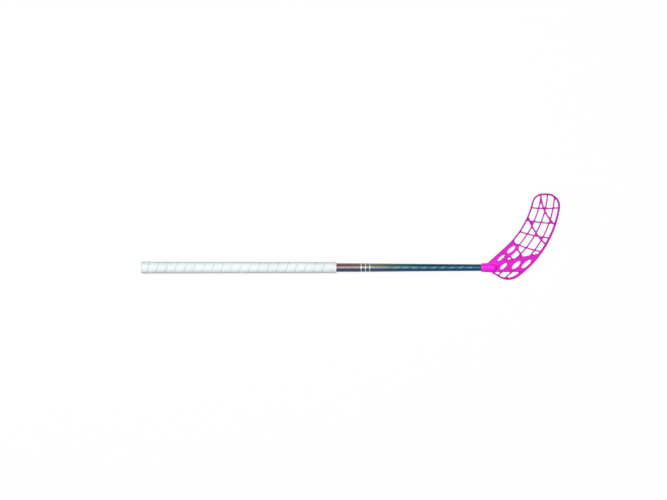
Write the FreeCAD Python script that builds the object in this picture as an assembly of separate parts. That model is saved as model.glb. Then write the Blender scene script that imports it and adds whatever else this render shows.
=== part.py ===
import FreeCAD
import Part
import math
import os

V = FreeCAD.Vector

# A floorball stick, in millimetres and degrees.
# X runs down the shaft from the butt face, Y lies in the plane of the blade towards its toe,
# and Z leaves the hollow face of the blade. The blade is drawn from the mouth of its socket.

# Shaft
shaft_length = 898.5
shaft_butt_d = 24.7
shaft_neck_d = 22.9
shaft_socket_d = 17.2
shaft_wall = 1.6
neck_length = 62.0
# Along the taper, and how much of the drop in diameter is then still to come.
taper_shares = ((0.30, 0.53), (0.62, 0.25))

# Butt cap, pushed into the shaft
cap_head = 2.4
cap_head_d = 29.0
cap_round = 1.8
cap_round_steps = 3
cap_spigot = 24.0

# Grip, one strip wound left-handed in a spiral
grip_length = 496.0
strip_pitch = 23.55
strip_gap = 0.55
strip_thickness = 2.65
strip_start_width = 2.0
strip_start_angle = 205.0
first_turn_rise = 0.6

# Finishing tape over the last of the grip
tape_width = 10.8
tape_thickness = 0.45

# Plug in the lower end of the shaft, which the blade's screws bite into
plug_length = 46.0

# Blade socket
socket_depth = 33.0
socket_mouth_d = 21.9
socket_d = 23.4
socket_flare = 14.0
socket_nose = 14.0
socket_nose_steps = 3
socket_end_wall = 10.0

# Outline of the blade: the toe arc, the top arc and the sole arc that meet it, and the straight edges
# that run from the socket to the top arc and to the heel
toe_reach = 162.4
toe_rise = 189.6
toe_radius = 77.0
toe_back = 53.5
toe_front = 29.5
toe_inner_round = 27.0
toe_outer_round = 33.0
top_radius = 220.3
top_bow_angle = 5.37
sole_radius = 260.0
heel_reach = 94.65
heel_depth = 23.4
heel_radius = 43.2
heel_edge_angle = -30.8
throat_top = 16.2
throat_bottom = 24.0
throat_share = 0.983

# Thickness and hook of the blade
rim_heel_thickness = 10.0
rim_toe_thickness = 7.4
rib_heel_thickness = 6.4
rib_toe_thickness = 4.6
hook_heading_angle = 62.0
hook_start = 95.0
hook_radius = 560.0

# Rim, arms and ribs of the blade
top_rim = 3.4
toe_rim = 3.8
sole_rims = (6.4, 4.6)
heel_rim = 3.6
rim_ledge = 0.7
rib_width = 3.2
brace_width = 3.8
cell_round = 1.5
cell_round_share = 0.9
least_cell_share = 0.72
corner_steps = 1
lower_arm_drop = 10.6
lower_arm_rise = 5.8
lower_arm_angle = 11.4
upper_arm_share = 0.325
upper_arm_angles = (-42.0, -85.0)
long_rib_shares = (0.27, 0.50, 0.76)
long_rib_angles = (30.0, -51.0)
cross_rib_count = 4
# Angles of the first cross rib and the step to the next, at the top edge and at the sole.
cross_rib_first_angles = (-16.8, -7.65)
cross_rib_step_angles = (-8.77, -9.0)
cross_rib_bow_share = 0.03
# Curved braces: share of the blade's height and angle at each end, and the bow as a share of the run.
brace_shares = (
    ((0.25, -5.0), (1.0, -18.0), 0.105),
    ((0.0, -22.5), (1.0, -30.2), 0.067),
    ((0.0, -41.0), (1.0, -46.0), 0.03),
    ((0.3, -50.2), (0.52, -49.8), 0.0),
)
heel_rib_shares = (0.332, 0.490)
heel_rib_angle = 40.0

# Oval slots in the arms
upper_slot_share = 0.19
upper_slot_angles = (-54.9, -46.5)
upper_slot_lengths = (22.7, 26.5)
upper_slot_widths = (6.8, 9.6)
lower_slot_shares = (0.3525, 0.5512, 0.7112)
lower_slot_lengths = (22.7, 27.5, 31.0)
lower_slot_widths = (8.6, 10.8, 10.4)
slot_angle = 41.0

# Two screws through the back of the socket
screw_shares = (0.30, 0.72)
screw_shank_d = 3.0
screw_length = 14.0
screw_head_d = 6.4
screw_head = 1.9
screw_recess = 1.1
screw_recess_width = 0.9
screw_recess_span = 3.4
screw_seat_depth = 1.7

# Clearances of the fits, and how far a cutter runs past what it cuts
fit_gap = 0.05
screw_gap = 0.1
seat_gap = 0.2
overrun = 30.0

# Places along the shaft
shaft_start = cap_head
shaft_end = shaft_start + shaft_length
grip_start = cap_head
grip_end = grip_start + grip_length
taper_start = grip_end + neck_length
mouth = shaft_end + seat_gap - socket_depth


def one(shape, what):
    """The single solid that a piece has to be."""
    solids = shape.removeSplitter().Solids
    if len(solids) != 1:
        raise ValueError("%s came out as %d solids" % (what, len(solids)))
    return solids[0]


def polar(centre, radius, angle):
    """The point at an angle, in degrees, on a circle."""
    turn = math.radians(angle)
    return centre + V(radius * math.cos(turn), radius * math.sin(turn), 0)


def bearing(centre, point):
    """The angle, in degrees, at which a point is seen from a centre."""
    return math.degrees(math.atan2(point.y - centre.y, point.x - centre.x))


def towards(centre, point, radius):
    """The point at a distance from the centre, in the direction of another point."""
    step = point - centre
    return centre + step * (radius / step.Length)


def arc(centre, start, end, turn):
    """The arc from start to end, anticlockwise for a turn of 1 and clockwise for -1."""
    first = bearing(centre, start)
    sweep = (bearing(centre, end) - first) * turn % 360
    middle = polar(centre, (start - centre).Length, first + turn * sweep / 2)
    return Part.Arc(start, middle, end).toShape()


def line(start, end):
    return Part.LineSegment(start, end).toShape()


def face(edges):
    return Part.Face(Part.Wire(edges))


def polygon(points):
    return Part.Face(Part.makePolygon(points + points[:1]))


def turned(points):
    """A solid of revolution about the shaft's axis from points given along it and across it."""
    rim = [V(along, across, 0) for along, across in points]
    return polygon(rim).revolve(V(0, 0, 0), V(1, 0, 0), 360)


def rounded(along, across, length, height, first, last, steps):
    """Points of a quarter round, for a profile that is turned in a few short cones."""
    points = []
    for step in range(steps + 1):
        angle = math.radians(first + (last - first) * step / steps)
        points.append((along + length * math.cos(angle), across + height * math.sin(angle)))
    return points


def circle_meet(centre_a, radius_a, centre_b, radius_b, side):
    """Where two circles cross, on the left (1) or right (-1) of the line from a to b."""
    run = centre_b - centre_a
    along = (radius_a ** 2 - radius_b ** 2 + run.Length ** 2) / (2 * run.Length)
    across = math.sqrt(radius_a ** 2 - along ** 2)
    unit = run / run.Length
    return centre_a + unit * along + V(-unit.y, unit.x, 0) * (across * side)


def left_of(step):
    """The unit vector to the left of a direction."""
    return V(-step.y, step.x, 0) / step.Length


def centre_through(start, end, radius):
    """The centre of the circle through two points, on the left of the line from start to end."""
    run = end - start
    return (start + end) / 2 + left_of(run) * math.sqrt(radius ** 2 - run.Length ** 2 / 4)


def on_line(start, heading, centre, radius, side):
    """Where a line comes to a distance from a centre, the first time (-1) or the last time (1)."""
    along = (centre - start).dot(heading)
    across = (start + heading * along - centre).Length
    return start + heading * (along + side * math.sqrt(radius ** 2 - across ** 2))


# Shaft


def shaft_r(along):
    """The outside radius of the shaft under the grip."""
    share = (along - shaft_start) / (grip_end - shaft_start)
    return (shaft_butt_d + (shaft_neck_d - shaft_butt_d) * share) / 2


def shaft_stations():
    """The outside diameter of the shaft at each place where its taper changes."""
    drop = shaft_neck_d - shaft_socket_d
    run = mouth - taper_start
    stations = [(shaft_start, shaft_butt_d), (grip_end, shaft_neck_d), (taper_start, shaft_neck_d)]
    for along, left in taper_shares:
        stations.append((taper_start + run * along, shaft_socket_d + drop * left))
    return stations + [(mouth, shaft_socket_d), (shaft_end, shaft_socket_d)]


def bar(start, start_r, end, end_r):
    """A round bar on the shaft's axis. A tapered one is a ruled surface, which takes few facets."""
    if start_r == end_r:
        return Part.makeCylinder(start_r, end - start, V(start, 0, 0), V(1, 0, 0))
    return Part.makeCone(start_r, end_r, end - start, V(start, 0, 0), V(1, 0, 0)).toNurbs()


def shaft_stretch(start, start_d, end, end_d):
    """One stretch of the tube."""
    core = bar(start, start_d / 2 - shaft_wall, end, end_d / 2 - shaft_wall)
    return bar(start, start_d / 2, end, end_d / 2).cut(core)


def make_shaft():
    stations = shaft_stations()
    stretches = [shaft_stretch(*one_end, *other) for one_end, other in zip(stations, stations[1:])]
    tube = stretches[0].fuse(stretches[1:])
    return one(tube.cut(screw_bores()), "shaft")


def make_plug():
    radius = shaft_socket_d / 2 - shaft_wall - fit_gap
    plug = bar(shaft_end - plug_length, radius, shaft_end, radius)
    return one(plug.cut(screw_bores()), "shaft_plug")


def make_cap():
    """The cap: a rounded head over the butt, and a spigot inside the shaft."""
    head_r = cap_head_d / 2
    end = cap_head + cap_spigot
    spigot_r = shaft_r(end) - shaft_wall - fit_gap
    rim = [(0, 0)]
    rim += rounded(cap_round, head_r - cap_round, cap_round, cap_round, 180, 90, cap_round_steps)
    rim += [
        (cap_head, head_r),
        (cap_head, spigot_r),
        (end, spigot_r),
        (end, 0),
    ]
    return one(turned(rim), "butt_cap")


# Grip


def strip_edges(turn):
    """Where the two edges of the strip lie along the shaft after a number of turns."""
    lower = grip_start + strip_pitch * (turn - 1) + strip_gap / 2
    upper = grip_start + strip_pitch * turn - strip_gap / 2
    return lower, upper


def strip_point(turn, along, radius):
    """A point of the winding, which is left-handed about the shaft's axis."""
    angle = math.radians(strip_start_angle + 360 * turn)
    return V(along, -radius * math.cos(angle), radius * math.sin(angle))


def strip_section(turn, lower, upper, thickness):
    """The cross-section of the strip at one turn, between two places along the shaft."""
    inside = shaft_r((lower + upper) / 2) + fit_gap
    outside = inside + thickness
    corners = [(lower, inside), (lower, outside), (upper, outside), (upper, inside)]
    points = [strip_point(turn, along, radius) for along, radius in corners]
    return Part.makePolygon(points + points[:1])


def strip_run(first, last, thickness):
    """A run of the strip between two turns, each given with its two edges."""
    turn_a, low_a, high_a = first
    turn_b, low_b, high_b = last
    middle_a = (low_a + high_a) / 2
    middle_b = (low_b + high_b) / 2
    radius_a = shaft_r(middle_a) + fit_gap
    radius_b = shaft_r(middle_b) + fit_gap
    rise = middle_b - middle_a
    cone = math.degrees(math.atan2(radius_b - radius_a, rise))
    spiral = Part.makeLongHelix(rise / (turn_b - turn_a), rise, radius_a, cone, True)
    spiral.rotate(V(0, 0, 0), V(0, 1, 0), 90)
    begin = strip_point(turn_a, middle_a, radius_a)
    start_angle = math.degrees(math.atan2(begin.z, begin.y))
    spiral.rotate(V(0, 0, 0), V(1, 0, 0), start_angle + 90)
    spiral.translate(V(middle_a, 0, 0))
    pipe = Part.BRepOffsetAPI.MakePipeShell(Part.Wire(spiral.Edges))
    pipe.setBiNormalMode(V(1, 0, 0))
    pipe.add(strip_section(turn_a, low_a, high_a, thickness), False, False)
    pipe.add(strip_section(turn_b, low_b, high_b, thickness), False, False)
    pipe.build()
    pipe.makeSolid()
    return pipe.shape()


def make_grip():
    """The wound strip: a widening first turn, the whole turns, and a last turn cut off square."""
    turns = grip_length / strip_pitch
    point_turn = strip_start_width / strip_pitch
    end = (turns,) + strip_edges(turns)
    begin = (1,) + strip_edges(1)
    first = strip_run((point_turn, grip_start, grip_start + strip_start_width), begin,
                      strip_thickness + first_turn_rise)
    whole = strip_run(begin, end, strip_thickness)
    tail = (turns + 1 - point_turn, grip_end - strip_start_width, grip_end)
    last = strip_run(end, tail, strip_thickness)
    return one(first.fuse([whole, last]), "grip_strip")


def strip_least_gap():
    """The least gap between neighbouring turns, measured on points along both edges."""
    steps = 48
    turns = grip_length / strip_pitch
    least = strip_pitch
    for number in range(int((turns - 1) * steps)):
        turn = 1 + number / steps
        upper = strip_edges(turn)[1]
        here = strip_point(turn, upper, shaft_r(upper) + fit_gap)
        for near in range(-steps // 8, steps // 8 + 1):
            other = turn + 1 + near / steps
            lower = strip_edges(other)[0]
            least = min(least, (strip_point(other, lower, shaft_r(lower) + fit_gap) - here).Length)
    return least


def make_tape():
    """The finishing tape, a band round the end of the grip."""
    start = grip_end - tape_width
    inner = shaft_r(start) + strip_thickness + 2 * fit_gap
    outer = inner + tape_thickness
    core = bar(start, inner, grip_end, inner)
    return one(bar(start, outer, grip_end, outer).cut(core), "finishing_tape")


# Screws


def screw_places():
    return [mouth + socket_depth * share for share in screw_shares]


def screw_seat():
    return -(socket_d / 2 - screw_seat_depth)


def screw_bores():
    """The bores that the screws leave in the pieces they go through."""
    radius = screw_shank_d / 2 + screw_gap
    depth = screw_length + seat_gap
    bores = []
    for place in screw_places():
        bores.append(Part.makeCylinder(radius, depth, V(place, 0, screw_seat()), V(0, 0, 1)))
    return Part.makeCompound(bores)


def make_screw(place):
    """A pan-head screw with a cross recess, driven in from the back of the socket."""
    head_r = screw_head_d / 2
    shank_r = screw_shank_d / 2
    screw = turned([
        (-screw_head, 0),
        (-screw_head, head_r),
        (0, head_r),
        (0, shank_r),
        (screw_length, shank_r),
        (screw_length, 0),
    ])
    for turn in (0, 90):
        slot = Part.makeBox(screw_recess + overrun, screw_recess_span, screw_recess_width)
        slot.translate(V(-screw_head - overrun, -screw_recess_span / 2, -screw_recess_width / 2))
        slot.rotate(V(0, 0, 0), V(1, 0, 0), turn)
        screw = screw.cut(slot)
    screw.rotate(V(0, 0, 0), V(0, 1, 0), -90)
    screw.translate(V(place, 0, screw_seat()))
    return one(screw, "screw")


# Blade


toe_centre = V(toe_reach, toe_rise - toe_radius, 0)
sole_ends = V(heel_reach, -heel_depth, 0), toe_centre + V(toe_front, 0, 0)
sole_centre = centre_through(*sole_ends, sole_radius)
throat_up = V(throat_top, throat_share * socket_d / 2, 0)
throat_down = V(throat_bottom, -throat_share * socket_d / 2, 0)
heel_heading = polar(V(0, 0, 0), 1, heel_edge_angle)
toe_shoulder = toe_centre - V(toe_back, 0, 0)
top_heading = polar(V(0, 0, 0), 1, bearing(throat_up, toe_shoulder) - top_bow_angle)
top_row = throat_up + left_of(top_heading) * top_radius
top_centre = on_line(top_row, top_heading, toe_shoulder, top_radius, -1)


def station(share, angle):
    """A point of the blade: share of the height from the top edge to the sole, and angle along it."""
    centre = top_centre + (sole_centre - top_centre) * share
    return polar(centre, top_radius + (sole_radius - top_radius) * share, angle)


def outline(top_inset, toe_inset, sole_insets, heel_inset):
    """The outline of the blade as a chain of tangent arcs, set in from its edges. The sole is set in
    by one amount at the heel and another at the toe."""
    top_r = top_radius + top_inset
    toe_r = toe_radius - toe_inset
    sole_r = sole_radius - sum(sole_insets) / len(sole_insets)
    sole_rows = [towards(sole_centre, end, sole_radius - inset) for end, inset in zip(sole_ends, sole_insets)]
    sole_c = centre_through(*sole_rows, sole_r)
    heel_r = heel_radius - heel_inset
    inner_r = toe_inner_round - toe_inset
    outer_r = toe_outer_round - toe_inset
    inner_centre = circle_meet(top_centre, top_r + inner_r, toe_centre, toe_r - inner_r, 1)
    outer_centre = circle_meet(toe_centre, toe_r - outer_r, sole_c, sole_r - outer_r, -1)
    heel_row = throat_down + left_of(heel_heading) * heel_radius
    heel_centre = on_line(heel_row, heel_heading, sole_c, sole_r - heel_r, 1)

    top_from = throat_up - left_of(top_heading) * top_inset
    top_start = top_centre - left_of(top_heading) * top_r
    top_end = towards(top_centre, inner_centre, top_r)
    toe_start = towards(toe_centre, inner_centre, toe_r)
    toe_end = towards(toe_centre, outer_centre, toe_r)
    sole_start = towards(sole_c, outer_centre, sole_r)
    sole_end = towards(sole_c, heel_centre, sole_r)
    heel_end = heel_centre - left_of(heel_heading) * heel_r
    heel_to = throat_down + left_of(heel_heading) * heel_inset
    return face([
        line(top_from, top_start),
        arc(top_centre, top_start, top_end, 1),
        arc(inner_centre, top_end, toe_start, -1),
        arc(toe_centre, toe_start, toe_end, -1),
        arc(outer_centre, toe_end, sole_start, -1),
        arc(sole_c, sole_start, sole_end, -1),
        arc(heel_centre, sole_end, heel_end, -1),
        line(heel_end, heel_to),
        line(heel_to, top_from),
    ])


def ring_strip(centre, radius, width, angle_a, angle_b):
    """A strip along an arc, from one angle to a larger one."""
    inner = radius - width / 2
    outer = radius + width / 2
    return face([
        arc(centre, polar(centre, outer, angle_a), polar(centre, outer, angle_b), 1),
        line(polar(centre, outer, angle_b), polar(centre, inner, angle_b)),
        arc(centre, polar(centre, inner, angle_b), polar(centre, inner, angle_a), -1),
        line(polar(centre, inner, angle_a), polar(centre, outer, angle_a)),
    ])


def bowed_strip(start, end, bow_share, width):
    """A strip between two points, straight or bowed to the right by a share of its run."""
    run = end - start
    unit = run / run.Length
    side = V(unit.y, -unit.x, 0)
    if bow_share == 0:
        half = side * (width / 2)
        return polygon([start - half, end - half, end + half, start + half])
    bow = run.Length * bow_share
    radius = (run.Length ** 2 / 4 + bow ** 2) / (2 * bow)
    centre = (start + end) / 2 + side * (bow - radius)
    reach = math.degrees(math.asin(run.Length / 2 / radius))
    middle = bearing(centre, centre + side)
    return ring_strip(centre, radius, width, middle - reach, middle + reach)


def arms(margin):
    """The two plates that run from the socket into the blade, grown by a margin."""
    centre = top_centre + (sole_centre - top_centre) * upper_arm_share
    edge_r = top_radius + (sole_radius - top_radius) * upper_arm_share + margin
    toe_side, heel_side = upper_arm_angles
    upper = face([
        line(centre, polar(centre, edge_r, heel_side)),
        arc(centre, polar(centre, edge_r, heel_side), polar(centre, edge_r, toe_side), 1),
        line(polar(centre, edge_r, toe_side), centre),
    ])
    grade = math.tan(math.radians(lower_arm_angle))
    far = toe_reach + toe_radius
    lower = polygon([
        V(0, -lower_arm_drop - margin, 0),
        V(far, -lower_arm_drop - margin, 0),
        V(far, lower_arm_rise + far * grade + margin, 0),
        V(0, lower_arm_rise + margin, 0),
    ])
    return [upper, lower]


def field(margin):
    """The parts of the blade inside its rim and beside its arms, as flat faces."""
    sole_insets = [rim + margin for rim in sole_rims]
    inside = outline(top_rim + margin, toe_rim + margin, sole_insets, heel_rim + margin)
    return inside.cut(arms(margin))


def ribs():
    """The ribs that cross the field, as flat strips."""
    strips = []
    toe_side, heel_side = long_rib_angles
    for share in long_rib_shares:
        centre = top_centre + (sole_centre - top_centre) * share
        radius = top_radius + (sole_radius - top_radius) * share
        strips.append(ring_strip(centre, radius, rib_width, heel_side, toe_side))
    for number in range(cross_rib_count):
        angles = [first + step * number for first, step in zip(cross_rib_first_angles, cross_rib_step_angles)]
        ends = [station(share, angle) for share, angle in enumerate(angles)]
        strips.append(bowed_strip(*ends, cross_rib_bow_share, rib_width))
    for start, end, bow_share in brace_shares:
        strips.append(bowed_strip(station(*start), station(*end), bow_share, brace_width))
    for share in heel_rib_shares:
        foot = V(toe_reach * share, -lower_arm_drop, 0)
        far = polar(foot, -heel_depth - overrun, heel_rib_angle)
        strips.append(bowed_strip(foot, far, 0, rib_width))
    return strips


def oval(centre, length, width):
    end = polar(centre, length / 2, slot_angle)
    side = polar(centre, width / 2, slot_angle + 90)
    return face([Part.Ellipse(end, side, centre).toShape()])


def slots():
    """The oval slots in the arms, as flat faces."""
    ovals = []
    for angle, length, width in zip(upper_slot_angles, upper_slot_lengths, upper_slot_widths):
        ovals.append(oval(station(upper_slot_share, angle), length, width))
    grade = math.tan(math.radians(lower_arm_angle))
    for share, length, width in zip(lower_slot_shares, lower_slot_lengths, lower_slot_widths):
        along = toe_reach * share
        middle = (lower_arm_rise + along * grade - lower_arm_drop) / 2
        ovals.append(oval(V(along, middle, 0), length, width))
    return ovals


def cells():
    """The openings between the ribs, with rounded corners. A corner too small to mould stays closed."""
    found = []
    for cell in field(rim_ledge).cut(ribs()).Faces:
        # The largest circle inside a cell is never smaller than this radius.
        room = cell.Area / cell.Length
        if room < least_cell_share * cell_round:
            continue
        radius = min(cell_round, cell_round_share * room)
        core = cell.makeOffset2D(-radius)
        for part in core.Faces:
            found.append(eased(part.makeOffset2D(radius), radius))
    return found


def eased(cell, radius):
    """A cell whose corner rounds are a few short flats, to save facets."""
    edges = []
    for edge in cell.OuterWire.OrderedEdges:
        curve = edge.Curve
        if isinstance(curve, Part.Circle) and abs(curve.Radius - radius) < fit_gap:
            points = edge.discretize(corner_steps + 1)
            edges += [line(*ends) for ends in zip(points, points[1:])]
        else:
            edges.append(edge)
    return Part.Face(Part.Wire(Part.__sortEdges__(edges)))


def upright(faces, height):
    """Prisms on flat faces, from below to above the blade."""
    prisms = []
    for flat in faces:
        prism = flat.copy()
        prism.translate(V(0, 0, -height / 2))
        prisms.append(prism.extrude(V(0, 0, height)))
    return prisms


def hooked_slab(heel_thickness, toe_thickness):
    """A slab over the whole blade, flat at the heel and bent towards +Z along the hook's heading."""
    heading = polar(V(0, 0, 0), 1, hook_heading_angle)
    toe_end = V(toe_reach, toe_rise, 0).dot(heading) + overrun
    sweep = math.degrees((toe_end - hook_start) / hook_radius)

    def surface(side, share):
        angle = sweep * share
        half = (heel_thickness + (toe_thickness - heel_thickness) * share) / 2
        hub = V(hook_start, hook_radius, 0)
        return polar(hub, hook_radius - side * half, angle - 90)

    back = hook_start + toe_reach + toe_radius
    half = heel_thickness / 2
    edges = []
    rows = []
    for side in (-1, 1):
        rows.append([surface(side, share) for share in (0, 0.5, 1)])
    below, above = rows
    tail_below = V(hook_start - back, -half, 0)
    tail_above = V(hook_start - back, half, 0)
    edges.append(line(tail_below, below[0]))
    edges.append(Part.Arc(*below).toShape())
    edges.append(line(below[2], above[2]))
    edges.append(Part.Arc(*above[::-1]).toShape())
    edges.append(line(above[0], tail_above))
    edges.append(line(tail_above, tail_below))
    width = 2 * (toe_reach + toe_rise)
    slab = face(edges)
    slab.rotate(V(0, 0, 0), V(1, 0, 0), 90)
    slab.translate(V(0, width / 2, 0))
    slab = slab.extrude(V(0, -width, 0))
    slab.rotate(V(0, 0, 0), V(0, 0, 1), hook_heading_angle)
    return slab


def make_socket():
    """The barrel that takes the shaft, with a flared mouth and a rounded nose."""
    mouth_r = socket_mouth_d / 2
    barrel_r = socket_d / 2
    shoulder = socket_depth + socket_end_wall - socket_nose
    rim = [(0, 0), (0, mouth_r), (socket_flare, barrel_r)]
    return turned(rim + rounded(shoulder, 0, socket_nose, barrel_r, 90, 0, socket_nose_steps))


def make_blade():
    """The blade: rim, sunk ribs, arms and socket in one moulding."""
    height = 2 * hook_radius
    rim = hooked_slab(rim_heel_thickness, rim_toe_thickness)
    web = hooked_slab(rib_heel_thickness, rib_toe_thickness)
    body = upright([outline(0, 0, (0, 0), 0)], height)[0].common(rim)
    sunk = [prism.cut(web) for prism in upright(field(0).Faces, height)]
    body = body.cut(sunk)
    body = body.fuse(make_socket())
    body = body.cut(upright(cells() + slots(), height))
    bore_r = shaft_socket_d / 2 + fit_gap
    body = body.cut(bar(-overrun, bore_r, socket_depth, bore_r))
    body.translate(V(mouth, 0, 0))
    seat_r = screw_head_d / 2 + screw_gap
    seats = []
    for place in screw_places():
        seats.append(Part.makeCylinder(seat_r, overrun, V(place, 0, screw_seat()), V(0, 0, -1)))
    return one(body.cut([screw_bores()] + seats), "blade")


# Build every piece

pieces = {
    "shaft": make_shaft(),
    "butt_cap": make_cap(),
    "grip_strip": make_grip(),
    "finishing_tape": make_tape(),
    "shaft_plug": make_plug(),
    "blade": make_blade(),
}
for number, place in enumerate(screw_places()):
    pieces["blade_screw_%d" % (number + 1)] = make_screw(place)

os.makedirs("parts", exist_ok=True)
for name, solid in pieces.items():
    solid.exportStep("parts/%s.step" % name)
    box = solid.BoundBox
    print("%-16s volume %9.1f mm3  X %7.1f to %7.1f  valid %s" % (
        name, solid.Volume, box.XMin, box.XMax, solid.isValid()))
print("least gap between turns of the grip: %.2f mm" % strip_least_gap())
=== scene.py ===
# %% [markdown]
# # A floorball stick, dressed in Blender
#
# The stick has a tapered composite shaft, a white cushioned grip wound round its upper half, a cap in its butt and a
# magenta openwork blade screwed on below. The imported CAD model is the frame: it fixes every size and place, and this
# lesson builds the visible pieces over it, in metres, in the same frame. X runs down the shaft from the butt, Y points
# to the toe of the blade and Z comes out of its hollow face.

# %% Load the frame
import math

import bmesh
import bpy
from mathutils import Matrix, Vector


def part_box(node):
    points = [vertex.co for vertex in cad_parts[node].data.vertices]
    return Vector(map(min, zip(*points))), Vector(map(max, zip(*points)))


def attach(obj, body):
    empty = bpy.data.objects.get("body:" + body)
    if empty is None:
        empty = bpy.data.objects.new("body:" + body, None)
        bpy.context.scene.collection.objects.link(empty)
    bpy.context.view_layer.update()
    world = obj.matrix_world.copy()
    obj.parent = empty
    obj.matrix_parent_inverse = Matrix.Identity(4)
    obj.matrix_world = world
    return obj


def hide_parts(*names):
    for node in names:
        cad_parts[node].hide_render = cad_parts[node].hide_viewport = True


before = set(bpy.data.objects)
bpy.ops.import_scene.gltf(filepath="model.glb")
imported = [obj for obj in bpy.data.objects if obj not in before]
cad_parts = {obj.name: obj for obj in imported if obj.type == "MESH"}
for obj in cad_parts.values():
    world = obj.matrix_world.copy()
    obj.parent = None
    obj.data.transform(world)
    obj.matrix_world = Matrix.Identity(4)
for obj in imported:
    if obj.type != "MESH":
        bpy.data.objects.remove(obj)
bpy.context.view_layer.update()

print("nodes:", sorted(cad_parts))

# %% [markdown]
# ## Sizes
#
# The places along the shaft are the CAD model's own. They are written once here, in millimetres, because that is how
# a maker reads them, and `mm` turns them into Blender's metres.

# %% Sizes
MM = 0.001
AXIS = Vector((1, 0, 0))

GRIP_START = 2.4
GRIP_END = 498.4
MOUTH = 868.1
# Place along the shaft and outside radius, from the butt to the socket
SHAFT_ROWS = ((GRIP_START, 12.35), (GRIP_END, 11.45), (560.4, 11.45), (652.71, 10.11), (751.17, 9.31), (MOUTH, 8.6),
              (900.9, 8.6))
SHAFT_WALL = 1.6


def mm(*values):
    return Vector([value * MM for value in values])


def smooth_step(low, high, value):
    share = min(max((value - low) / (high - low), 0), 1)
    return share * share * (3 - 2 * share)


def shaft_radius(along):
    """The shaft's outside radius, in millimetres, on straight runs between the CAD model's stations."""
    for (x0, r0), (x1, r1) in zip(SHAFT_ROWS, SHAFT_ROWS[1:]):
        if along <= x1:
            return r0 + (r1 - r0) * max(along - x0, 0) / (x1 - x0)
    return SHAFT_ROWS[-1][1]


print("shaft radius at the grip's end: %.2f mm" % shaft_radius(GRIP_END))

# %% [markdown]
# ## Writing shaders as sums
#
# A material's nodes are easier to read as arithmetic. `Wire` stands for one output of a node, and its operators add
# Math nodes. `Finish` is one material, and its `node` method makes any other node: first its settings, then the values
# or wires that go into its sockets.


# %% Wires and finishes
class Wire:
    """One output socket in a material, which can be used in a sum."""

    def __init__(self, finish, socket):
        self.finish = finish
        self.socket = socket

    def math(self, operation, *values):
        return self.finish.node("ShaderNodeMath", {"operation": operation}, dict(enumerate(values)))

    def __add__(self, other):
        return self.math("ADD", self, other)

    def __radd__(self, other):
        return self.math("ADD", other, self)

    def __sub__(self, other):
        return self.math("SUBTRACT", self, other)

    def __rsub__(self, other):
        return self.math("SUBTRACT", other, self)

    def __mul__(self, other):
        return self.math("MULTIPLY", self, other)

    def __rmul__(self, other):
        return self.math("MULTIPLY", other, self)

    def __truediv__(self, other):
        return self.math("DIVIDE", self, other)

    def __abs__(self):
        return self.math("ABSOLUTE", self)

    def __mod__(self, other):
        return self.math("FLOORED_MODULO", self, other)

    def high(self, other):
        return self.math("MAXIMUM", self, other)

    def step(self, low, high):
        """0 below low, 1 above high, and a soft rise between them."""
        return self.finish.node("ShaderNodeMapRange", {"interpolation_type": "SMOOTHSTEP"},
                                {0: self, 1: low, 2: high, 3: 0.0, 4: 1.0})


class Finish:
    """One material, with a Principled surface at its end."""

    def __init__(self, name):
        self.material = bpy.data.materials.new(name)
        self.material.use_nodes = True
        self.tree = self.material.node_tree
        self.tree.nodes.clear()
        self.place = self.node("ShaderNodeTexCoord", out="Object")

    def node(self, kind, settings=None, inputs=None, out=0):
        node = self.tree.nodes.new(kind)
        for key, value in (settings or {}).items():
            if key == "stops":
                ramp = node.color_ramp.elements
                while len(ramp) < len(value):
                    ramp.new(1.0)
                for element, (position, colour) in zip(ramp, value):
                    element.position = position
                    element.color = colour
            else:
                setattr(node, key, value)
        for key, value in (inputs or {}).items():
            if isinstance(value, Wire):
                self.tree.links.new(value.socket, node.inputs[key])
            else:
                node.inputs[key].default_value = value
        if node.outputs:
            return Wire(self, node.outputs[out])

    def axes(self):
        """The place on the piece as three wires, in millimetres."""
        split = self.node("ShaderNodeSeparateXYZ", None, {0: self.place})
        return [Wire(self, socket) / MM for socket in split.socket.node.outputs]

    def blend(self, factor, first, second):
        """A colour between two colours."""
        return self.node("ShaderNodeMix", {"data_type": "RGBA"}, {0: factor, 6: first, 7: second}, out=2)

    def noise(self, scale, detail):
        return self.node("ShaderNodeTexNoise", None, {"Vector": self.place, "Scale": scale, "Detail": detail})

    def bump(self, height, distance, strength=1.0):
        return self.node("ShaderNodeBump", None, {"Height": height, "Distance": distance, "Strength": strength})

    def surface(self, **inputs):
        named = {key.replace("_", " "): value for key, value in inputs.items()}
        shader = self.node("ShaderNodeBsdfPrincipled", None, named)
        self.node("ShaderNodeOutputMaterial", None, {"Surface": shader})
        return self.material


def rgb(red, green, blue):
    """A colour as seen on a screen, from 0 to 255, turned into the linear colour that shaders use."""
    linear = []
    for value in (red, green, blue):
        value = value / 255
        linear.append(value / 12.92 if value <= 0.04045 else ((value + 0.055) / 1.055) ** 2.4)
    return (*linear, 1.0)


print("magenta in linear light:", [round(value, 3) for value in rgb(245, 40, 225)])

# %% [markdown]
# ## Making a piece
#
# Each piece is shaped in a bmesh and then becomes an object at the origin, with its place in its mesh, as the CAD
# nodes have. `add_piece` also says which body it rides on, which CAD nodes it stands for, and which finish it shows.

# %% Piece helpers
# Angle in degrees from which an edge stays sharp
SHARP_ANGLE = 35


def add_piece(mesh, name, material, nodes):
    """Puts a mesh in the scene as a piece of the stick."""
    mesh.materials.clear()
    mesh.materials.append(material)
    piece = bpy.data.objects.new(name, mesh)
    bpy.context.scene.collection.objects.link(piece)
    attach(piece, "root")
    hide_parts(*nodes)
    triangles = sum(len(face.vertices) - 2 for face in mesh.polygons)
    print("%s: %d triangles" % (name, triangles))
    return piece


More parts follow.
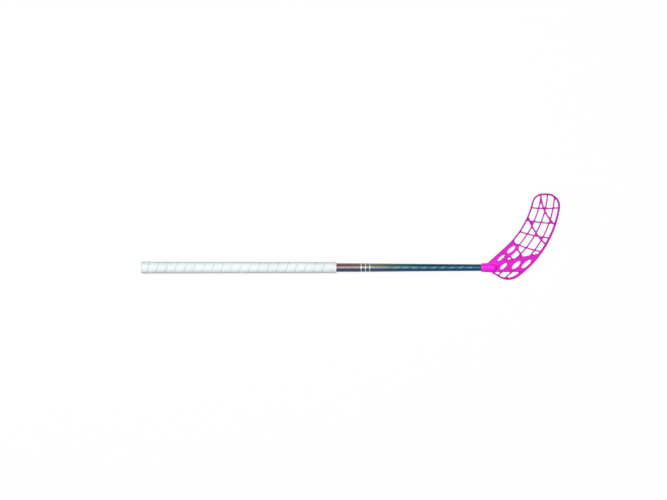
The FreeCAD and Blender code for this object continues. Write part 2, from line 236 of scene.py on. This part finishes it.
def to_mesh(bm, name):
    """Turns a bmesh into a mesh that is smooth except along sharp edges."""
    mesh = bpy.data.meshes.new(name)
    for face in bm.faces:
        face.smooth = True
    for edge in bm.edges:
        edge.smooth = edge.calc_face_angle(0) < math.radians(SHARP_ANGLE)
    bm.to_mesh(mesh)
    bm.free()
    return mesh


# %% [markdown]
# Most of the stick is round, so most pieces are turned: a profile is drawn beside the shaft's axis and spun round it.
# Bores, recesses and joined layers come from a Boolean, which takes one shape from another or makes one of two.

# %% Turning and combining
# Points that are nearer than this, in metres, are one point
WELD = 1e-6
ROUND_STEPS = 72


def turn_profile(points, steps, closed):
    """A ring of steps round the shaft's axis from points given along it and across it, in millimetres."""
    bm = bmesh.new()
    verts = [bm.verts.new(mm(along, across, 0)) for along, across in points]
    pairs = list(zip(verts, verts[1:]))
    if closed:
        pairs.append((verts[-1], verts[0]))
    edges = [bm.edges.new(pair) for pair in pairs]
    bmesh.ops.spin(bm, geom=verts + edges, cent=(0, 0, 0), axis=AXIS, angle=math.tau, steps=steps, use_merge=True)
    bmesh.ops.remove_doubles(bm, verts=bm.verts, dist=WELD)
    bmesh.ops.recalc_face_normals(bm, faces=bm.faces)
    return bm


def quarter_round(along, across, radius, first, steps):
    """Points of a quarter circle, from one angle to the next quarter, clockwise."""
    points = []
    for step in range(steps + 1):
        angle = math.radians(first - 90 * step / steps)
        points.append((along + radius * math.cos(angle), across + radius * math.sin(angle)))
    return points


def combined(mesh, tool_mesh, operation):
    """A mesh that another one was taken from or joined to, as a bmesh of sound triangles."""
    model = bpy.data.objects.new("model", mesh)
    tool = bpy.data.objects.new("tool", tool_mesh)
    for item in (model, tool):
        bpy.context.scene.collection.objects.link(item)
    boolean = model.modifiers.new("boolean", "BOOLEAN")
    boolean.operation = operation
    boolean.solver = "EXACT"
    boolean.use_self = True
    boolean.object = tool
    bpy.context.view_layer.update()
    result = bpy.data.meshes.new_from_object(model.evaluated_get(bpy.context.evaluated_depsgraph_get()))
    for item in (model, tool):
        bpy.data.objects.remove(item)
    bm = bmesh.new()
    bm.from_mesh(result)
    bmesh.ops.triangulate(bm, faces=bm.faces)
    bmesh.ops.dissolve_degenerate(bm, dist=WELD, edges=bm.edges)
    return bm


# %% [markdown]
# ## Shaft
#
# The shaft is a filament-wound tube under a gloss clear coat. Its paint shifts from maroon under the grip through
# olive to dark teal at the blade, and one side of it stays slate blue all the way. A turned profile gives the tube;
# its stations are joined by straight runs with eased corners, so that the highlight runs along it unbroken. The two
# screws that hold the blade go through its back, so it is bored for them.

# %% Shaft tube
EASE_REACH = 40
EASE_STEPS = 6
SCREW_PLACES = (878.0, 891.86)
BORE_RADIUS = 1.6
BORE_STEPS = 24
DRILL_LENGTH = 6.4


def eased_rows(rows):
    """The stations with each inner corner replaced by a short curve."""
    points = [rows[0]]
    for (x0, r0), (x1, r1), (x2, r2) in zip(rows, rows[1:], rows[2:]):
        before = min(EASE_REACH, (x1 - x0) / 2)
        after = min(EASE_REACH, (x2 - x1) / 2)
        start = (x1 - before, r1 + (r0 - r1) * before / (x1 - x0))
        end = (x1 + after, r1 + (r2 - r1) * after / (x2 - x1))
        for step in range(EASE_STEPS + 1):
            share = step / EASE_STEPS
            near, far = (1 - share) ** 2, share ** 2
            middle = 2 * share * (1 - share)
            points.append(tuple(near * a + middle * b + far * c for a, b, c in zip(start, (x1, r1), end)))
    return points + [rows[-1]]


outer = eased_rows(SHAFT_ROWS)
inner = [(along, across - SHAFT_WALL) for along, across in SHAFT_ROWS]
tube_bm = turn_profile(outer + inner[::-1], ROUND_STEPS, closed=True)
drill_bm = bmesh.new()
for place in SCREW_PLACES:
    back = Matrix.Translation(mm(place, 0, -shaft_radius(place)))
    bmesh.ops.create_cone(drill_bm, cap_ends=True, segments=BORE_STEPS, radius1=BORE_RADIUS * MM,
                          radius2=BORE_RADIUS * MM, depth=DRILL_LENGTH * MM, matrix=back)
shaft_bm = combined(to_mesh(tube_bm, "tube"), to_mesh(drill_bm, "drill"), "DIFFERENCE")
print("shaft profile points: %d, bores: %d" % (len(outer) + len(inner), len(SCREW_PLACES)))

# %% [markdown]
# ### Paint
#
# Colour-shift paint looks different on its two flanks. Here the upper flank runs along the shaft through a ramp of
# measured stops, the lower flank is slate blue, and the two melt into each other over the crown. The printed marks are
# plain: narrow pale rings and a run of slanted dashes that shrink towards the blade.

# %% Shaft paint
PAINT_START = 490
PAINT_REACH = 380
CROWN_BLEND = 4.025
DASH_START = 640
DASH_END = 853
DASH_PITCH = 23.5
DASH_SLANT = 0.9
# Half length of a dash as a share of the pitch, at the start and one reach further on
DASH_SHARES = (0.34, 0.18)
DASH_SHRINK_REACH = 220
DASH_LINE_RADIUS = 10.0
RING_START = 556
RING_PITCH = 11
RING_COUNT = 3


def shaft_paint():
    paint = Finish("shaft_paint")
    along, across, up = paint.axes()
    share = (along - PAINT_START) / PAINT_REACH
    flank = paint.node("ShaderNodeValToRGB", {"stops": [
        (0.0, rgb(128, 72, 84)),
        (0.10, rgb(126, 88, 78)),
        (0.28, rgb(118, 120, 96)),
        (0.46, rgb(48, 98, 92)),
        (0.66, rgb(2, 70, 82)),
        (1.0, rgb(6, 86, 108)),
    ]}, {0: share})
    slate = paint.node("ShaderNodeValToRGB", {"stops": [
        (0.0, rgb(68, 76, 112)),
        (0.45, rgb(46, 84, 114)),
        (1.0, rgb(20, 76, 114)),
    ]}, {0: share})
    side = across.step(-CROWN_BLEND, CROWN_BLEND)
    base = paint.blend(side, slate, flank)

    # Distance round the tube from its front or back line, for the printed marks
    turn = paint.node("ShaderNodeMath", {"operation": "ARCTAN2"}, {0: across, 1: abs(up)})
    around = turn * DASH_LINE_RADIUS
    cell = ((along - DASH_START - around * DASH_SLANT) / DASH_PITCH % 1.0) - 0.5
    shrink = (along - DASH_START) / DASH_SHRINK_REACH
    length = DASH_SHARES[0] - (DASH_SHARES[0] - DASH_SHARES[1]) * shrink
    dash = 1 - (abs(cell) - length).step(-0.02, 0.02)
    band = 1 - abs(around).step(2.4, 2.9)
    run = along.step(DASH_START - 3, DASH_START - 1) * (1 - along.step(DASH_END - 1, DASH_END + 1))
    dashes = dash * band * run
    rings_end = RING_START + RING_COUNT * RING_PITCH
    ring = abs(((along - RING_START) % RING_PITCH) - RING_PITCH / 2)
    ringed = along.step(RING_START, RING_START + 0.1) * (1 - along.step(rings_end - 0.1, rings_end))
    rings = (1 - ring.step(1.0, 1.4)) * ringed
    marked = paint.blend(dashes * 0.38, base, rgb(92, 156, 176))
    marked = paint.blend(rings * 0.85, marked, rgb(224, 228, 224))

    flake = paint.noise(2600.0, 1.0)
    colour = paint.blend(flake.step(0.55, 0.75) * 0.10, marked, rgb(190, 200, 205))
    grain = paint.noise(60.0, 4.0)
    clear = 0.9 - 0.78 * along.step(570, 670)
    return paint.surface(
        Base_Color=colour, Metallic=0.35, Roughness=0.30 + 0.10 * grain, Coat_Weight=clear, Coat_Roughness=0.12,
        Coat_IOR=1.7, Specular_IOR_Level=0.25)


add_piece(to_mesh(shaft_bm, "painted_shaft"), "painted_shaft", shaft_paint(), ["shaft"])

# %% [markdown]
# ## Butt cap
#
# The cap is a small white moulding. Its head covers the end of the tube and the wound grip ends against it, so only
# a rounded rim shows. The profile is turned, with a real quarter round where the CAD solid has a few cones.

# %% Butt cap
CAP_HEAD = 2.4
CAP_RADIUS = 14.5
CAP_ROUND = 1.8
CAP_SPIGOT = 10.5
CAP_END = 26.4

cap_profile = [(0, radius) for radius in (0, 6.0, 11.0)]
cap_profile += quarter_round(CAP_ROUND, CAP_RADIUS - CAP_ROUND, CAP_ROUND, 180, 8)
cap_profile += [(CAP_HEAD, CAP_RADIUS), (CAP_HEAD, CAP_SPIGOT), (CAP_END, CAP_SPIGOT), (CAP_END, 0)]
cap_bm = turn_profile(cap_profile, ROUND_STEPS, closed=False)


def cap_plastic():
    plastic = Finish("cap_plastic")
    grain = plastic.noise(1400.0, 2.0)
    cloud = plastic.noise(90.0, 3.0)
    colour = plastic.blend(cloud * 0.35, rgb(236, 240, 242), rgb(216, 220, 223))
    return plastic.surface(Base_Color=colour, Roughness=0.46 + 0.14 * cloud, Normal=plastic.bump(grain, 0.00005))


add_piece(to_mesh(cap_bm, "butt_end_cap"), "butt_end_cap", cap_plastic(), ["butt_cap"])

# %% [markdown]
# ## Grip
#
# The grip is one strip of cushioned polyurethane, wound left-handed from the butt. Its edges are rolled, so
# neighbouring turns meet in a shallow groove. A screw motion makes it: `spin` with a step along the axis sweeps the
# strip's section, and two cuts square off the ends. The shaft tapers under it, so each point is then moved in or out.

# %% Wind the strip
STRIP_PITCH = 23.55
STRIP_GAP = 0.15
STRIP_THICKNESS = 2.65
# Distance in from an edge of the strip, and how far its surface has dropped there
EDGE_ROLL = ((0.0, 0.95), (0.45, 0.68), (1.0, 0.42), (1.6, 0.22), (2.3, 0.08), (3.2, 0.0))
STRIP_START_ANGLE = 205
FIRST_TURN_RISE = 0.6
# Turns wound between which that rise fades out
FIRST_TURN_FADE = (0.85, 1.10)
GRIP_CLEARANCE = 0.05
# Reach along the shaft and depth of the rolled edge at the butt
BUTT_ROLL = (4.2, 1.6)
TURN_STEPS = 48

strip_turns = (GRIP_END - GRIP_START) / STRIP_PITCH
strip_half = (STRIP_PITCH - STRIP_GAP) / 2
core = shaft_radius(GRIP_START) + GRIP_CLEARANCE
middle = GRIP_START - STRIP_PITCH / 2

crown = core + STRIP_THICKNESS
section = [(middle - strip_half, core)]
section += [(middle - strip_half + inset, crown - drop) for inset, drop in EDGE_ROLL]
section += [(middle, crown)]
section += [(middle + strip_half - inset, crown - drop) for inset, drop in reversed(EDGE_ROLL)]
section += [(middle + strip_half, core)]

grip_bm = bmesh.new()
ring = [grip_bm.verts.new(mm(along, across, 0)) for along, across in section]
sides = [grip_bm.edges.new((ring[i - 1], ring[i])) for i in range(len(ring))]
start_turn = Matrix.Rotation(math.radians(180 - STRIP_START_ANGLE), 3, "X")
bmesh.ops.rotate(grip_bm, cent=(0, 0, 0), matrix=start_turn, verts=grip_bm.verts)
steps = math.ceil((strip_turns + 1) * TURN_STEPS)
bmesh.ops.spin(grip_bm, geom=ring + sides, cent=(0, 0, 0), axis=AXIS, dvec=AXIS * (STRIP_PITCH / TURN_STEPS * MM),
               angle=-math.tau * steps / TURN_STEPS, steps=steps)
for place, side in ((GRIP_START, -1), (GRIP_END, 1)):
    cut = bmesh.ops.bisect_plane(grip_bm, geom=grip_bm.verts[:] + grip_bm.edges[:] + grip_bm.faces[:], dist=1e-7,
                                 plane_co=mm(place, 0, 0), plane_no=AXIS * side, clear_outer=True)
    rim = [edge for edge in cut["geom_cut"] if isinstance(edge, bmesh.types.BMEdge)]
    bmesh.ops.holes_fill(grip_bm, edges=rim, sides=0)
print("turns of the strip: %.1f in %d steps" % (strip_turns, steps))

# %% [markdown]
# The first turn is thicker, because the strip starts doubled under it, and the edge at the butt is rolled over. The
# number of turns wound so far follows from a point's angle and its place along the shaft.


# %% Fit the strip to the shaft
def wound_turns(along, angle):
    """How many turns have been wound at a point of the strip."""
    phase = (math.degrees(-angle) + 180 - STRIP_START_ANGLE) / 360
    expected = (along - GRIP_START) / STRIP_PITCH + 0.5
    return phase + round(expected - phase)


for vert in grip_bm.verts:
    along = vert.co.x / MM
    radius = math.hypot(vert.co.y, vert.co.z) / MM
    angle = math.atan2(vert.co.z, vert.co.y)
    turns = wound_turns(along, angle)
    height = radius - core
    height *= 1 + FIRST_TURN_RISE / STRIP_THICKNESS * (1 - smooth_step(*FIRST_TURN_FADE, turns))
    depth = along - GRIP_START
    share = min(max(1 - depth / BUTT_ROLL[0], 0), 1)
    height -= BUTT_ROLL[1] * (1 - math.sqrt(1 - share ** 2))
    radius = shaft_radius(along) + GRIP_CLEARANCE + max(height, 0)
    vert.co = mm(along, radius * math.cos(angle), radius * math.sin(angle))
bmesh.ops.remove_doubles(grip_bm, verts=grip_bm.verts, dist=WELD)
bmesh.ops.recalc_face_normals(grip_bm, faces=grip_bm.faces)


def grip_foam():
    foam = Finish("grip_foam")
    cloud = foam.noise(26.0, 4.0)
    pores = foam.node("ShaderNodeTexVoronoi", None, {"Vector": foam.place, "Scale": 1500.0})
    grain = foam.noise(700.0, 3.0)
    colour = foam.blend(cloud.step(0.35, 0.8) * 0.5, rgb(242, 250, 252), rgb(230, 238, 241))
    along, across, up = foam.axes()
    turn = foam.node("ShaderNodeMath", {"operation": "ARCTAN2"}, {0: up, 1: across})
    wound = (along - GRIP_START) / STRIP_PITCH + turn / math.tau + (STRIP_START_ANGLE - 180) / 360
    seam = abs((wound + 0.5) % 1.0 - 0.5) * STRIP_PITCH
    # Painted shade: the groove where neighbouring turns meet is painted darker along the seam
    colour = foam.blend((1 - seam.step(0.4, 3.0)) * 0.25, colour, rgb(190, 199, 203))
    height = pores * 0.5 + grain
    return foam.surface(
        Base_Color=colour, Roughness=0.62 + 0.15 * cloud, Normal=foam.bump(height, 0.00008, 0.6),
        Specular_IOR_Level=0.2)


grip = add_piece(to_mesh(grip_bm, "wound_grip"), "wound_grip", grip_foam(), ["grip_strip"])

# %% [markdown]
# ## Finishing tape
#
# A band of thin vinyl tape holds the end of the strip. It is turned as a ring with eased edges, and the end of the
# tape lies over it on the back as a second short layer.

# %% Finishing tape
TAPE_WIDTH = 10.8
TAPE_INNER = 14.218
TAPE_THICKNESS = 0.45
TAPE_EASE = 0.25
TAPE_END_ANGLES = (192, 250)
TAPE_END_RISE = 0.18
TAPE_END_EASE = 0.2
TAPE_END_STEPS = 16

tape_start = GRIP_END - TAPE_WIDTH
tape_top = TAPE_INNER + TAPE_THICKNESS
tape_profile = [(tape_start, TAPE_INNER)]
tape_profile += quarter_round(tape_start + TAPE_EASE, tape_top - TAPE_EASE, TAPE_EASE, 180, 3)
tape_profile += quarter_round(GRIP_END - TAPE_EASE, tape_top - TAPE_EASE, TAPE_EASE, 90, 3)
tape_profile += [(GRIP_END, TAPE_INNER)]
band_bm = turn_profile(tape_profile, ROUND_STEPS, closed=True)

# The free end: a short arc of a thinner section that lies on the band
end_top = tape_top + TAPE_END_RISE
end_foot = tape_top - TAPE_END_EASE
end_section = [(tape_start, end_foot), (tape_start, tape_top), (tape_start + TAPE_END_EASE, end_top)]
end_section += [(GRIP_END - TAPE_END_EASE, end_top), (GRIP_END, tape_top), (GRIP_END, end_foot)]
end_bm = bmesh.new()
verts = [end_bm.verts.new(mm(along, across, 0)) for along, across in end_section]
first = end_bm.faces.new(verts)
end_turn = Matrix.Rotation(math.radians(TAPE_END_ANGLES[0]), 3, "X")
bmesh.ops.rotate(end_bm, cent=(0, 0, 0), matrix=end_turn, verts=verts)
sweep = math.radians(TAPE_END_ANGLES[1] - TAPE_END_ANGLES[0])
bmesh.ops.spin(end_bm, geom=[first], cent=(0, 0, 0), axis=AXIS, angle=sweep, steps=TAPE_END_STEPS)
bmesh.ops.recalc_face_normals(end_bm, faces=end_bm.faces)
tape_bm = combined(to_mesh(band_bm, "band"), to_mesh(end_bm, "free_end"), "UNION")


def tape_vinyl():
    vinyl = Finish("tape_vinyl")
    lines = vinyl.noise(60.0, 2.0)
    colour = vinyl.blend(lines * 0.4, rgb(242, 246, 248), rgb(230, 234, 237))
    return vinyl.surface(Base_Color=colour, Roughness=0.34 + 0.1 * lines)


add_piece(to_mesh(tape_bm, "tape_band"), "tape_band", tape_vinyl(), ["finishing_tape"])

# %% [markdown]
# ## Blade
#
# The blade is one polyethylene moulding. The CAD solid has its ribs, arms, slots and hook, but with sharp edges, and a
# moulding has none. A bevel on a merged copy rolls the outer edges over, and a voxel remesh with some smoothing then
# melts the inner corners too. Without the bevel, the remesh would leave ripples along the edges. Decimation thins the
# flat plates again.

# %% Roll the blade's edges
BLADE_EDGE_ROUND = 0.55
BLADE_VOXEL = 0.45
BLADE_SMOOTH_ROUNDS = 12
BLADE_KEEP_SHARE = 0.3

blade_bm = bmesh.new()
blade_bm.from_mesh(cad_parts["blade"].data)
bmesh.ops.remove_doubles(blade_bm, verts=blade_bm.verts, dist=WELD)
outer_edges = []
for edge in blade_bm.edges:
    if edge.is_convex and edge.calc_face_angle(0) > math.radians(SHARP_ANGLE):
        outer_edges.append(edge)
bmesh.ops.bevel(blade_bm, geom=outer_edges, offset=BLADE_EDGE_ROUND * MM, offset_type="OFFSET", affect="EDGES",
                segments=3, profile=0.5, material=-1, clamp_overlap=False, loop_slide=False)
print("rolled edges of the blade:", len(outer_edges))


# %% Melt its corners
def melted(mesh):
    """The mesh remeshed into voxels, smoothed and thinned."""
    model = bpy.data.objects.new("melting", mesh)
    bpy.context.scene.collection.objects.link(model)
    remesh = model.modifiers.new("remesh", "REMESH")
    remesh.mode = "VOXEL"
    remesh.voxel_size = BLADE_VOXEL * MM
    smooth = model.modifiers.new("smooth", "SMOOTH")
    smooth.factor = 0.5
    smooth.iterations = BLADE_SMOOTH_ROUNDS
    thin = model.modifiers.new("thin", "DECIMATE")
    thin.ratio = BLADE_KEEP_SHARE
    bpy.context.view_layer.update()
    result = bpy.data.meshes.new_from_object(model.evaluated_get(bpy.context.evaluated_depsgraph_get()))
    bpy.data.objects.remove(model)
    result.polygons.foreach_set("use_smooth", [True] * len(result.polygons))
    return result


blade_mesh = melted(to_mesh(blade_bm, "blade_copy"))
print("faces of the melted blade:", len(blade_mesh.polygons))

# %% [markdown]
# ### Blade plastic
#
# The plastic is the same magenta all through, and light and shade are painted on it: the rim and the ribs are
# painted darker as shade, the arms lighter as if lit, the arms' edges along the top and the sole darker as shade, and
# the socket lighter as painted light. The finish finds the arms from the lines and circles that bound them in the CAD
# model, measured from the socket's mouth.

# %% Blade plastic
LOWER_ARM_RISE = 0.2016
ARM_CENTRE = (-76.0, 207.4)
ARM_RADIUS = 233.2
ARM_END_ANGLE = -42
SOLE_CENTRE = (-57.0, 187.8)
SOLE_RADIUS = 260.0
TOP_LINE = (16.2, 11.5)
TOP_LINE_ANGLE = 42.1


def blade_plastic():
    plastic = Finish("blade_plastic")
    x, across = plastic.axes()[:2]
    along = x - MOUTH
    cloud = plastic.noise(30.0, 3.0)
    grain = plastic.noise(1800.0, 2.0)

    def offset(point, angle):
        """Distance to the left of a line through a point."""
        turn = math.radians(angle)
        return (across - point[1]) * math.cos(turn) - (along - point[0]) * math.sin(turn)

    def from_centre(point):
        side = along - point[0]
        rise = across - point[1]
        return plastic.node("ShaderNodeMath", {"operation": "SQRT"}, {0: side * side + rise * rise})

    lower = across.step(-12.0, -9.5) * (1 - (across - along * LOWER_ARM_RISE).step(4.5, 7.0))
    inside = from_centre(ARM_CENTRE) - ARM_RADIUS
    upper = (1 - inside.step(-1.2, 1.2)) * (1 - offset(ARM_CENTRE, ARM_END_ANGLE).step(-3.0, 3.0))
    # Painted shade: the arms are painted darker along their top edge and along the sole
    top_edge_shade = offset(TOP_LINE, TOP_LINE_ANGLE).step(-8.5, -1.5)
    sole_edge_shade = (from_centre(SOLE_CENTRE) - SOLE_RADIUS).step(-7.0, -3.0)
    arms = lower.high(upper) * (1 - (0.75 * top_edge_shade).high(0.45 * sole_edge_shade))
    # Painted light: the socket is painted a lighter magenta than the rest of the blade
    socket = (1 - along.step(30, 46)) * (1 - abs(across).step(11.2, 12.4))

    # Painted light and shade on one magenta: the rim and ribs get the darker, shaded colour and the arms the lighter,
    # lit one
    thin = plastic.blend(cloud * 0.5, rgb(203, 14, 180), rgb(188, 12, 166))
    lit_magenta = plastic.blend(cloud.step(0.3, 0.7), rgb(215, 6, 190), rgb(246, 10, 223))
    colour = plastic.blend(arms, thin, lit_magenta)
    colour = plastic.blend(socket, colour, rgb(255, 42, 235))
    return plastic.surface(
        Base_Color=colour, Roughness=0.38 + 0.12 * cloud, Normal=plastic.bump(grain, 0.00004, 0.5),
        Specular_IOR_Level=0.16)


add_piece(blade_mesh, "openwork_blade", blade_plastic(), ["blade"])

# %% [markdown]
# ## Screws and plug
#
# Two zinc-plated pan-head screws hold the blade from the back. A screw is turned, and its cross recess is cut by two
# tapered bars, shaped as the punch that forms it. One screw is made on the shaft's axis, and each copy of it is then
# stood up in its seat. The plug that the screws bite into sits inside the shaft, so it keeps its CAD shape.

# %% Screws
SCREW_SEAT = -10.0
# Height over the seat, towards the crown of the head, and radius
SCREW_ROWS = ((1.9, 0), (1.87, 1.2), (1.68, 2.1), (1.25, 2.75), (0.6, 3.12), (0.12, 3.2), (0, 3.12), (0, 1.5),
              (-12.6, 1.5), (-14.0, 0.5), (-14.0, 0))
RECESS_SPAN = 3.4
RECESS_WIDTH = 0.9
RECESS_DEPTH = 1.1
RECESS_TAPER = 0.55
SCREW_STEPS = 40


def recess_punch():
    """A cross of two bars that narrow towards their tip."""
    bm = bmesh.new()
    for span, width in ((RECESS_SPAN, RECESS_WIDTH), (RECESS_WIDTH, RECESS_SPAN)):
        bar = bmesh.ops.create_cube(bm, size=1)["verts"]
        bmesh.ops.scale(bm, vec=mm(2 * RECESS_DEPTH, span, width), verts=bar)
        bmesh.ops.translate(bm, vec=mm(-SCREW_ROWS[0][0], 0, 0), verts=bar)
        tip = [vert for vert in bar if vert.co.x > -SCREW_ROWS[0][0] * MM]
        bmesh.ops.scale(bm, vec=(1, RECESS_TAPER, RECESS_TAPER), verts=tip)
    return to_mesh(bm, "recess_punch")


blank = turn_profile([(-height, radius) for height, radius in SCREW_ROWS], SCREW_STEPS, closed=False)
screw_mesh = to_mesh(combined(to_mesh(blank, "screw_blank"), recess_punch(), "DIFFERENCE"), "screw")
print("screw with its recess: %d faces" % len(screw_mesh.polygons))


# %% Screw and plug finishes
def zinc_steel():
    steel = Finish("zinc_steel")
    cloud = steel.noise(500.0, 3.0)
    colour = steel.blend(cloud, rgb(186, 188, 192), rgb(160, 160, 160))
    return steel.surface(Base_Color=colour, Metallic=1.0, Roughness=0.28 + 0.2 * cloud)


def plug_plastic():
    plastic = Finish("plug_plastic")
    cloud = plastic.noise(200.0, 3.0)
    colour = plastic.blend(cloud, rgb(60, 60, 62), rgb(44, 44, 46))
    return plastic.surface(Base_Color=colour, Roughness=0.5 + 0.15 * cloud)


steel = zinc_steel()
stand_up = Matrix.Rotation(math.radians(-90), 3, "Y")
for number, place in enumerate(SCREW_PLACES, 1):
    screw_bm = bmesh.new()
    screw_bm.from_mesh(screw_mesh)
    bmesh.ops.rotate(screw_bm, cent=(0, 0, 0), matrix=stand_up, verts=screw_bm.verts)
    bmesh.ops.translate(screw_bm, vec=mm(place, 0, SCREW_SEAT), verts=screw_bm.verts)
    name = "pan_head_screw_%d" % number
    add_piece(to_mesh(screw_bm, name), name, steel, ["blade_screw_%d" % number])
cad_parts["shaft_plug"].data.materials.clear()
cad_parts["shaft_plug"].data.materials.append(plug_plastic())

# %% [markdown]
# ## Floor, light and camera
#
# The stick lies on a plain white floor. Its balance point is below the grip, so it rests on the finishing tape and on
# the screw heads at the socket, and the floor leans by 0.4 degrees to touch both. What the camera sees of the floor
# is white with a faint shadow, and what lights the stick from below is grey, so its flanks stay dark. A narrow softbox
# gives the line of light along the shaft, a broad one lights the rest, a small one lights the butt, and a dim world
# fills in. The camera looks straight down through a long lens.

# %% Floor
FLOOR_REACH = 20.0
FLOOR_GAP = 0.0001
SHADOWLESS_SHARE = 0.93

rest_x = GRIP_END * MM
rest_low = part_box("finishing_tape")[0].z
screw_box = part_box("blade_screw_2")
lean = (screw_box[0].z - rest_low) / ((screw_box[0].x + screw_box[1].x) / 2 - rest_x)
floor_bm = bmesh.new()
bmesh.ops.create_grid(floor_bm, x_segments=1, y_segments=1, size=FLOOR_REACH)
for vert in floor_bm.verts:
    vert.co.z = rest_low - FLOOR_GAP + (vert.co.x - rest_x) * lean
floor_mesh = bpy.data.meshes.new("floor")
floor_bm.to_mesh(floor_mesh)
floor_bm.free()


def floor_white():
    white = Finish("floor_white")
    bounce = white.node("ShaderNodeBsdfDiffuse", None, {"Color": rgb(160, 160, 160)})
    lit = white.node("ShaderNodeBsdfDiffuse", None, {"Color": rgb(255, 255, 255)})
    glow = white.node("ShaderNodeEmission", None, {"Color": rgb(255, 255, 255), "Strength": 1.0})
    seen = white.node("ShaderNodeMixShader", None, {0: SHADOWLESS_SHARE, 1: lit, 2: glow})
    camera_ray = white.node("ShaderNodeLightPath", out="Is Camera Ray")
    rays = camera_ray.socket.node.outputs
    path = camera_ray.high(Wire(white, rays["Is Glossy Ray"])).high(Wire(white, rays["Is Transmission Ray"]))
    mixed = white.node("ShaderNodeMixShader", None, {0: path, 1: bounce, 2: seen})
    white.node("ShaderNodeOutputMaterial", None, {"Surface": mixed})
    return white.material


floor_mesh.materials.append(floor_white())
floor = bpy.data.objects.new("floor", floor_mesh)
bpy.context.scene.collection.objects.link(floor)
print("the floor leans by %.2f degrees" % math.degrees(math.atan(lean)))


# %% Lights
def softbox(name, place, aim, width, length, watts):
    """A soft rectangular lamp that looks at a point."""
    lamp = bpy.data.lights.new(name, "AREA")
    lamp.shape = "RECTANGLE"
    lamp.size = width
    lamp.size_y = length
    lamp.energy = watts
    box = bpy.data.objects.new(name, lamp)
    box.location = place
    box.rotation_euler = (Vector(aim) - Vector(place)).to_track_quat("-Z", "Y").to_euler()
    box.visible_camera = False
    bpy.context.scene.collection.objects.link(box)
    print("%s: %.1f by %.1f m, %d W" % (name, width, length, watts))


STICK_MIDDLE = (0.53, 0.02, 0)
softbox("strip", (0.53, 0.78, 2.2), STICK_MIDDLE, 3.0, 0.45, 29)
softbox("overhead", (0.53, -0.35, 3.2), STICK_MIDDLE, 3.6, 2.6, 66)
softbox("side", (-1.6, 0, 0.9), (0, 0, 0), 0.8, 0.8, 8)

world = bpy.data.worlds.new("studio")
bpy.context.scene.world = world
world.use_nodes = True
world.node_tree.nodes["Background"].inputs["Color"].default_value = rgb(255, 255, 255)
world.node_tree.nodes["Background"].inputs["Strength"].default_value = 0.06

# %% Camera
VIEW_CENTRE = (0.491, 0.045)
VIEW_WIDTH = 1.704
LENS = 200

camera = bpy.data.cameras.new("camera")
camera.lens = LENS
camera.sensor_width = 36
camera.clip_end = 100
eye = bpy.data.objects.new("camera", camera)
eye.location = (*VIEW_CENTRE, VIEW_WIDTH * LENS / camera.sensor_width)
bpy.context.scene.collection.objects.link(eye)
bpy.context.scene.camera = eye
bpy.context.scene.view_settings.view_transform = "Standard"
print("camera height: %.2f m" % eye.location.z)
